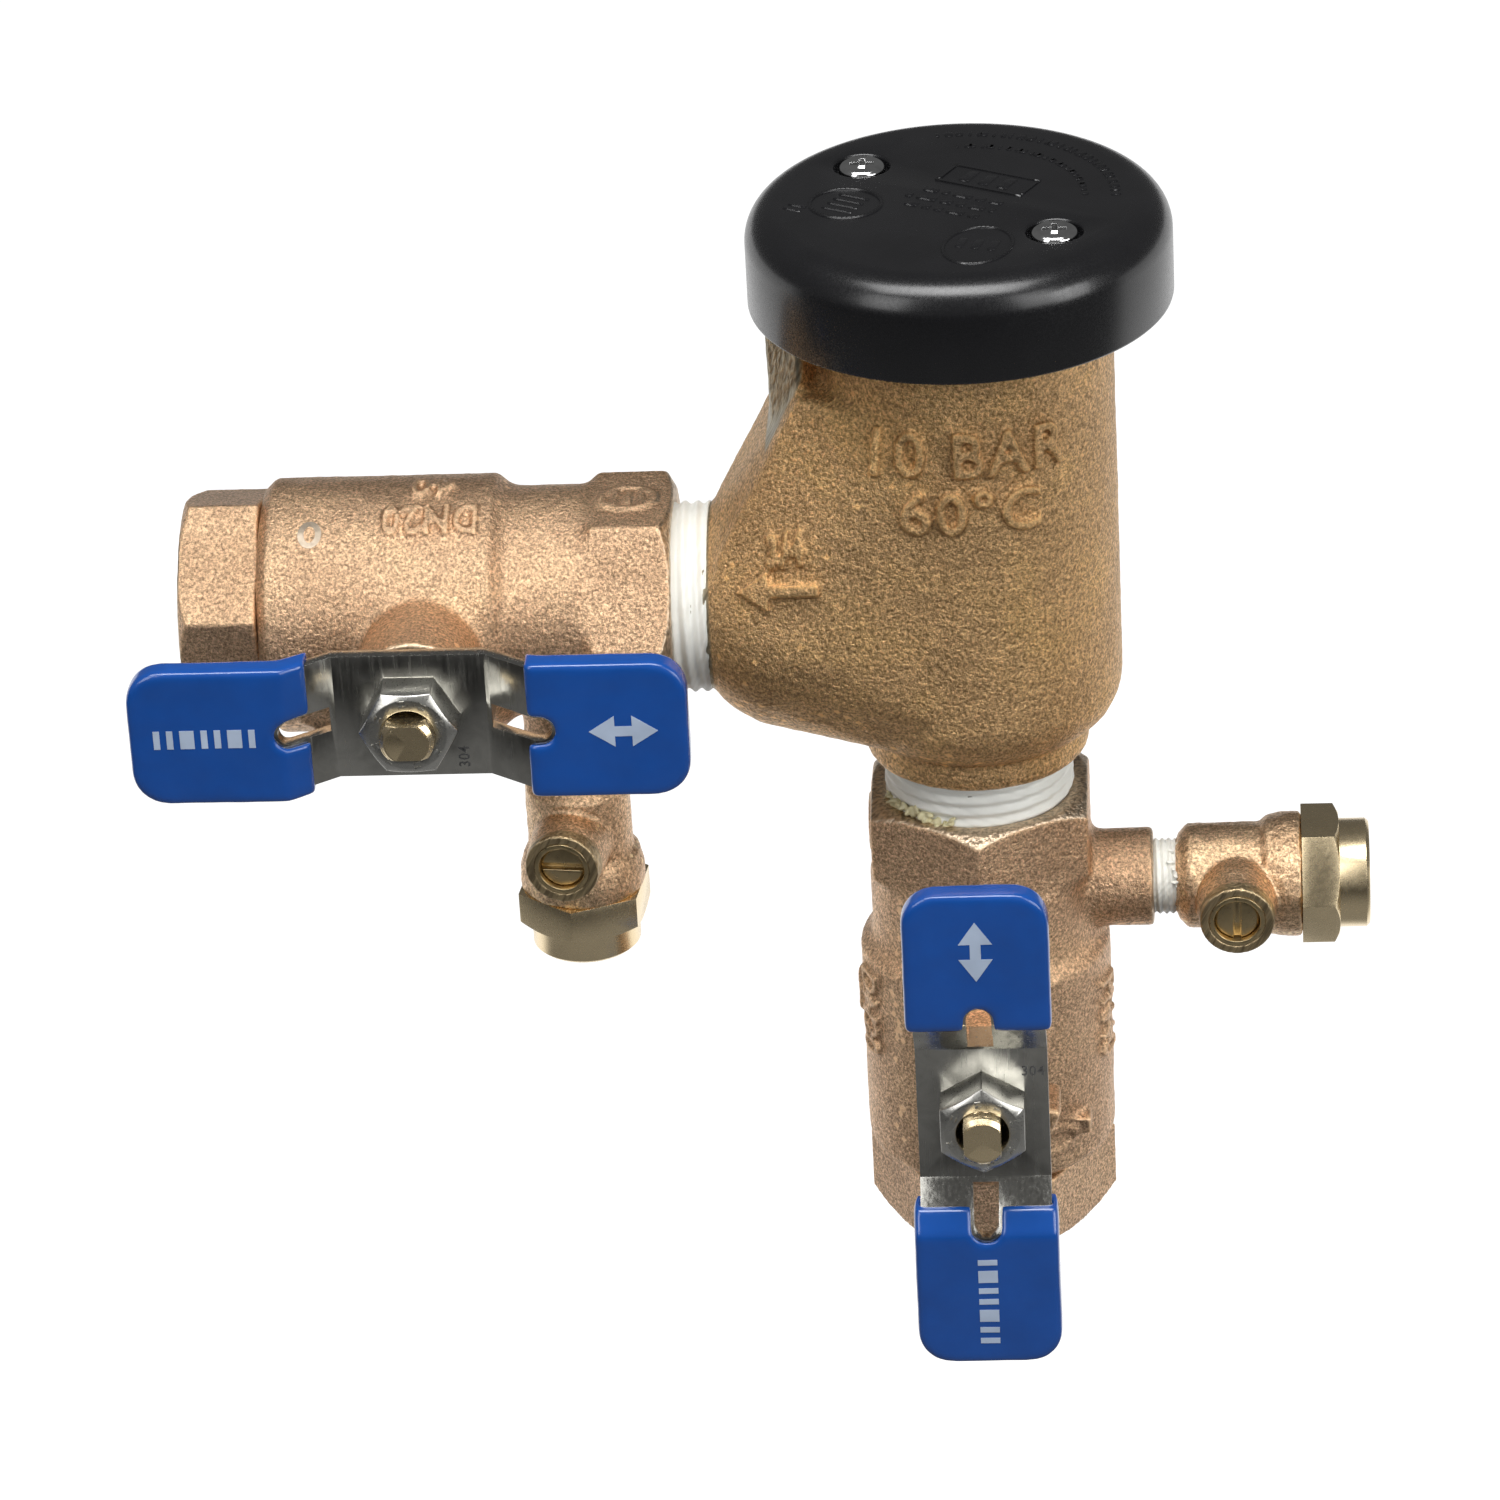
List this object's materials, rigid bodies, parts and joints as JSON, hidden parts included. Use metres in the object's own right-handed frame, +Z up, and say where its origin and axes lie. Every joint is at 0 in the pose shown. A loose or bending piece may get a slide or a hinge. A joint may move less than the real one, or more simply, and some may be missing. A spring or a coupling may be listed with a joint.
{
  "type": "backflow preventer",
  "caption": "Pressure vacuum breaker for irrigation: canopied bronze body with an inlet ball valve below, an outlet ball valve at the side, and slotted test cocks on both.",
  "frame": {"origin": "centre of the inlet port's mouth, at the bottom face of the inlet shutoff valve", "axes": "+Z up along the riser, from the inlet towards the canopy; -X is the way the water leaves the outlet port; -Y is the side of the valve handles"},
  "size_m": [0.172, 0.0723, 0.1665],
  "materials": {
    "body_bronze": "rough sand-cast bronze",
    "valve_bronze": "fine-grained cast bronze",
    "brass": "machined brass",
    "cock_brass": "cast brass",
    "canopy_plastic": "black semi-gloss",
    "inner_plastic": "black moulded engineering plastic",
    "rubber": "black silicone rubber",
    "ptfe": "white PTFE",
    "ptfe_tape": "white PTFE thread tape",
    "stainless": "bright stainless steel",
    "chrome_ball": "chrome plated brass",
    "zinc": "bright zinc plate",
    "vinyl": "glossy blue dipped vinyl",
    "screw_steel": "stainless steel"
  },
  "bodies": {
    "assembly": {"pvb_body": "body_bronze", "canopy": "canopy_plastic", "canopy_screws": "screw_steel", "bonnet": "inner_plastic", "bonnet_o_ring": "rubber", "air_inlet_spring": "stainless", "poppet_guide": "inner_plastic", "check_spring": "stainless", "inlet_thread_tape": "ptfe_tape", "outlet_thread_tape": "ptfe_tape", "inlet_valve_body": "valve_bronze", "inlet_end_adapter": "valve_bronze", "inlet_ball_seats": "ptfe", "inlet_thrust_washer": "ptfe", "inlet_stem_packing": "ptfe", "inlet_gland_nut": "brass", "inlet_cock_body": "cock_brass", "inlet_cock_end_piece": "brass", "inlet_cock_ball_seats": "ptfe", "inlet_cock_stem_ring": "brass", "inlet_cock_thread_tape": "ptfe_tape", "outlet_valve_body": "valve_bronze", "outlet_end_adapter": "valve_bronze", "outlet_ball_seats": "ptfe", "outlet_thrust_washer": "ptfe", "outlet_stem_packing": "ptfe", "outlet_gland_nut": "brass", "outlet_cock_body": "cock_brass", "outlet_cock_end_piece": "brass", "outlet_cock_ball_seats": "ptfe", "outlet_cock_stem_ring": "brass", "outlet_cock_thread_tape": "ptfe_tape"},
    "inlet_handle_body": {"inlet_handle": "stainless", "inlet_handle_grips": "vinyl", "inlet_handle_nut": "zinc", "inlet_stem": "brass", "inlet_ball": "chrome_ball"},
    "outlet_handle_body": {"outlet_handle": "stainless", "outlet_handle_grips": "vinyl", "outlet_handle_nut": "zinc", "outlet_stem": "brass", "outlet_ball": "chrome_ball"},
    "inlet_cock_stem_body": {"inlet_cock_stem": "brass", "inlet_cock_stem_o_ring": "rubber", "inlet_cock_ball": "chrome_ball"},
    "outlet_cock_stem_body": {"outlet_cock_stem": "brass", "outlet_cock_stem_o_ring": "rubber", "outlet_cock_ball": "chrome_ball"},
    "check_body": {"check_poppet": "inner_plastic", "check_disc": "rubber", "check_disc_retainer": "inner_plastic"},
    "air_inlet_body": {"air_inlet_poppet": "inner_plastic", "air_inlet_disc": "rubber"}
  },
  "joints": [
    {"name": "inlet_handle_turn", "type": "hinge", "parent": "assembly", "child": "inlet_handle_body", "pos_m": [0, 0, 0.03465], "axis": [0, 1, 0], "range_deg": [0, 90]},
    {"name": "outlet_handle_turn", "type": "hinge", "parent": "assembly", "child": "outlet_handle_body", "pos_m": [-0.07714, 0, 0.10087], "axis": [0, 1, 0], "range_deg": [0, 90]},
    {"name": "inlet_cock_turn", "type": "hinge", "parent": "assembly", "child": "inlet_cock_stem_body", "pos_m": [0.0367, 0, 0.05345], "axis": [0, -1, 0], "range_deg": [0, 90]},
    {"name": "outlet_cock_turn", "type": "hinge", "parent": "assembly", "child": "outlet_cock_stem_body", "pos_m": [-0.05834, 0, 0.06417], "axis": [-0.1219, -0.9925, 0], "range_deg": [0, 90]},
    {"name": "check_lift", "type": "slide", "parent": "assembly", "child": "check_body", "axis": [0, 0, 1], "range_m": [0, 0.0055], "stiffness_N_per_m": 350, "springref_m": -0.007, "deforming": ["check_spring"]},
    {"name": "air_inlet_lift", "type": "slide", "parent": "assembly", "child": "air_inlet_body", "axis": [0, 0, 1], "range_m": [0, 0.0065], "stiffness_N_per_m": 60, "springref_m": -0.008, "deforming": ["air_inlet_spring"]}
  ]
}
